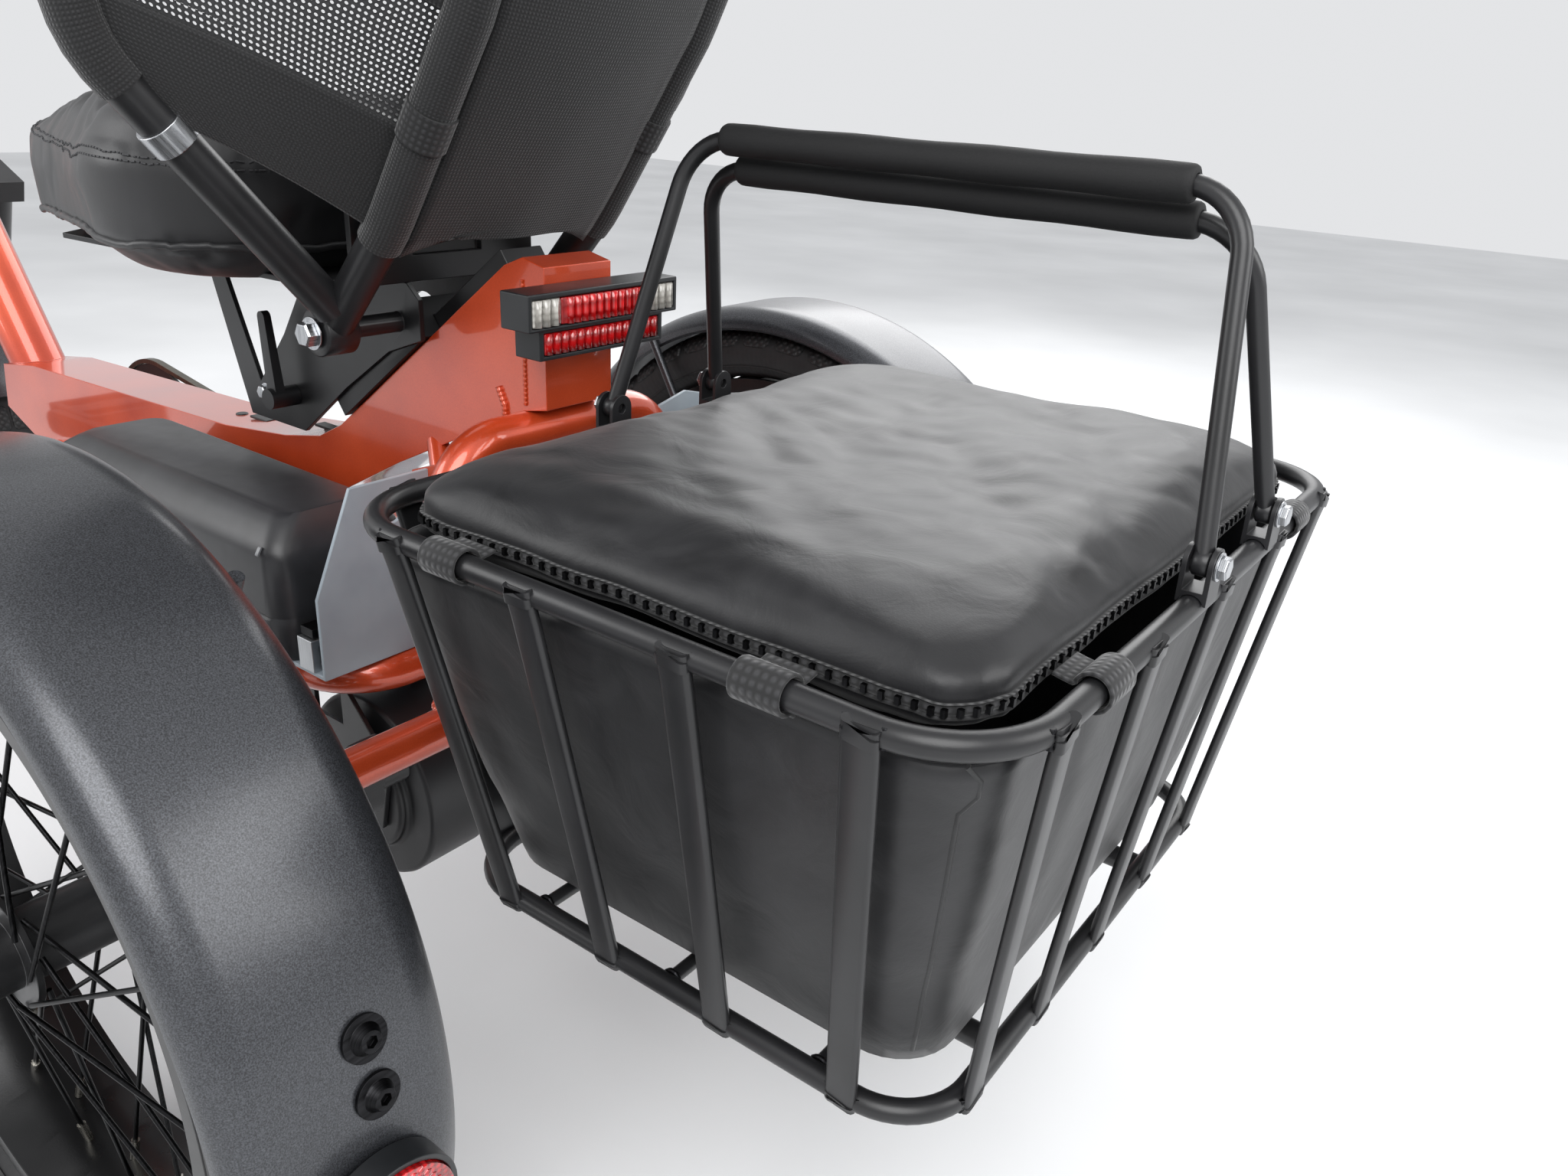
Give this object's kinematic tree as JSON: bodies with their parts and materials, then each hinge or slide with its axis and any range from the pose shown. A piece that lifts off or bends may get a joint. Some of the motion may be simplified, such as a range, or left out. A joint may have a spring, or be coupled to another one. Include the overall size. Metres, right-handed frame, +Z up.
{
  "type": "adult tricycle",
  "caption": "Delta tricycle with a low welded frame, reclining mesh-backed seat, fat tyres, side battery and a rear cargo basket with a lined bag and carry handles.",
  "frame": {"origin": "on the ground under the middle of the whole machine", "axes": "+X forward, +Y to the rider's left, +Z up"},
  "size_m": [1.87, 0.804, 1.0485],
  "materials": {
    "orange_paint": "metallic gloss",
    "grey_plate": "satin",
    "black_powder_coat": "satin",
    "motor_cast": "satin",
    "lamp_plastic": "fine texture",
    "red_lens": "gloss",
    "clear_lens": "gloss",
    "fender_paint": "satin metallic",
    "black_screw": "blackened",
    "battery_plastic": "satin moulded",
    "bare_aluminium": "brushed",
    "lead_rubber": "matt",
    "bag_fabric": "coated cloth",
    "mesh_fabric": "woven mesh",
    "seat_cover": "grained vinyl",
    "chain_steel": "oiled",
    "tyre_rubber": "moulded",
    "rim_black": "anodised",
    "spoke_steel": "black",
    "hub_black": "anodised",
    "grip_rubber": "matt"
  },
  "bodies": {
    "frame": {"main_beam": "orange_paint", "rear_frame": "orange_paint", "battery_cradle": "orange_paint", "frame_gussets": "orange_paint", "deck_plate": "grey_plate", "side_plate": "grey_plate", "axle_bearings": "black_powder_coat", "rack_plate": "black_powder_coat", "motor_drum": "motor_cast", "motor_bracket": "black_powder_coat", "tail_light_housing": "lamp_plastic", "tail_light_lens": "red_lens", "turn_lenses": "clear_lens", "fender_left": "fender_paint", "fender_right": "fender_paint", "fender_bolts": "black_screw", "side_reflectors": "red_lens", "reflector_cups": "lamp_plastic", "battery_case": "battery_plastic", "battery_clips": "bare_aluminium", "battery_lead": "lead_rubber", "seat_rail": "black_powder_coat", "basket_frame": "black_powder_coat", "bag_liner": "bag_fabric", "handle_brackets": "black_powder_coat", "brake_calipers": "motor_cast", "drive_chain": "chain_steel"},
    "wheel_left": {"tyre_left": "tyre_rubber", "rim_left": "rim_black", "spokes_left": "spoke_steel", "hub_left": "hub_black"},
    "wheel_right": {"tyre_right": "tyre_rubber", "rim_right": "rim_black", "spokes_right": "spoke_steel", "hub_right": "hub_black"},
    "wheel_front": {"tyre_front": "tyre_rubber", "rim_front": "rim_black", "spokes_front": "spoke_steel", "hub_front": "hub_black"},
    "steering": {"fork": "orange_paint", "handlebar": "black_powder_coat", "hand_grips": "grip_rubber", "headlight": "lamp_plastic", "display": "lamp_plastic", "front_fender": "fender_paint"},
    "crank": {"crank_set": "hub_black"},
    "pedal_left": {"pedal_left": "grip_rubber"},
    "pedal_right": {"pedal_right": "grip_rubber"},
    "sprocket": {"rear_sprocket": "chain_steel"},
    "seat": {"seat_cushion": "seat_cover", "seat_pan": "black_powder_coat", "seat_bracket": "black_powder_coat"},
    "backrest": {"backrest_frame": "black_powder_coat", "backrest_panel": "mesh_fabric"},
    "lever_left": {"brake_lever_left": "black_powder_coat"},
    "lever_right": {"brake_lever_right": "black_powder_coat"},
    "clamp_lever": {"seat_clamp_lever": "black_powder_coat"},
    "handle_left": {"carry_handle_left": "black_powder_coat"},
    "handle_right": {"carry_handle_right": "black_powder_coat"},
    "lid": {"bag_lid": "bag_fabric"}
  },
  "joints": [
    {"name": "wheel_left_spin", "type": "hinge", "parent": "frame", "child": "wheel_left", "pos_m": [-0.434, 0.345, 0.258], "axis": [0, 1, 0], "continuous": true},
    {"name": "wheel_right_spin", "type": "hinge", "parent": "frame", "child": "wheel_right", "pos_m": [-0.434, -0.345, 0.258], "axis": [0, 1, 0], "continuous": true},
    {"name": "steering_turn", "type": "hinge", "parent": "frame", "child": "steering", "pos_m": [0.633, 0, 0.258], "axis": [-0.3746, 0, 0.9272], "range_deg": [-28, 28]},
    {"name": "wheel_front_spin", "type": "hinge", "parent": "steering", "child": "wheel_front", "pos_m": [0.676, 0, 0.258], "axis": [0, 1, 0], "continuous": true},
    {"name": "crank_spin", "type": "hinge", "parent": "frame", "child": "crank", "pos_m": [0.231, 0, 0.314], "axis": [0, 1, 0], "continuous": true},
    {"name": "pedal_left_spin", "type": "hinge", "parent": "crank", "child": "pedal_left", "pos_m": [0.383, 0.15, 0.314], "axis": [0, 1, 0], "continuous": true},
    {"name": "pedal_right_spin", "type": "hinge", "parent": "crank", "child": "pedal_right", "pos_m": [0.079, -0.15, 0.314], "axis": [0, 1, 0], "continuous": true},
    {"name": "sprocket_spin", "type": "hinge", "parent": "frame", "child": "sprocket", "pos_m": [-0.434, -0.078, 0.258], "axis": [0, 1, 0], "continuous": true},
    {"name": "seat_slide", "type": "slide", "parent": "frame", "child": "seat", "axis": [-0.8, 0, 0.6], "range_m": [0, 0.04]},
    {"name": "backrest_recline", "type": "hinge", "parent": "seat", "child": "backrest", "pos_m": [-0.356, 0, 0.55], "axis": [0, 1, 0], "range_deg": [-5, 20]},
    {"name": "seat_clamp_swing", "type": "hinge", "parent": "seat", "child": "clamp_lever", "pos_m": [-0.22, 0.05, 0.472], "axis": [0, 1, 0], "range_deg": [0, 110]},
    {"name": "brake_lever_left_pull", "type": "hinge", "parent": "steering", "child": "lever_left", "pos_m": [0.31222, 0.262, 1.006], "axis": [0, 0, 1], "range_deg": [0, 14], "stiffness_Nm_per_rad": 0.4, "springref_deg": -5.73},
    {"name": "brake_lever_right_pull", "type": "hinge", "parent": "steering", "child": "lever_right", "pos_m": [0.31222, -0.262, 1.006], "axis": [0, 0, -1], "range_deg": [0, 14], "stiffness_Nm_per_rad": 0.4, "springref_deg": -5.73},
    {"name": "carry_handle_left_swing", "type": "hinge", "parent": "frame", "child": "handle_left", "pos_m": [-0.739, 0.03, 0.527], "axis": [1, 0, 0], "range_deg": [-75, 0]},
    {"name": "carry_handle_right_swing", "type": "hinge", "parent": "frame", "child": "handle_right", "pos_m": [-0.739, -0.07, 0.527], "axis": [-1, 0, 0], "range_deg": [-75, 0]},
    {"name": "bag_lid_lift", "type": "hinge", "parent": "frame", "child": "lid", "pos_m": [-0.5684, 0, 0.5213], "axis": [0, 1, 0], "range_deg": [0, 8]}
  ],
  "couplings": [
    {"joint": "sprocket_spin", "follows": "crank_spin", "ratio": 2.2078}
  ]
}
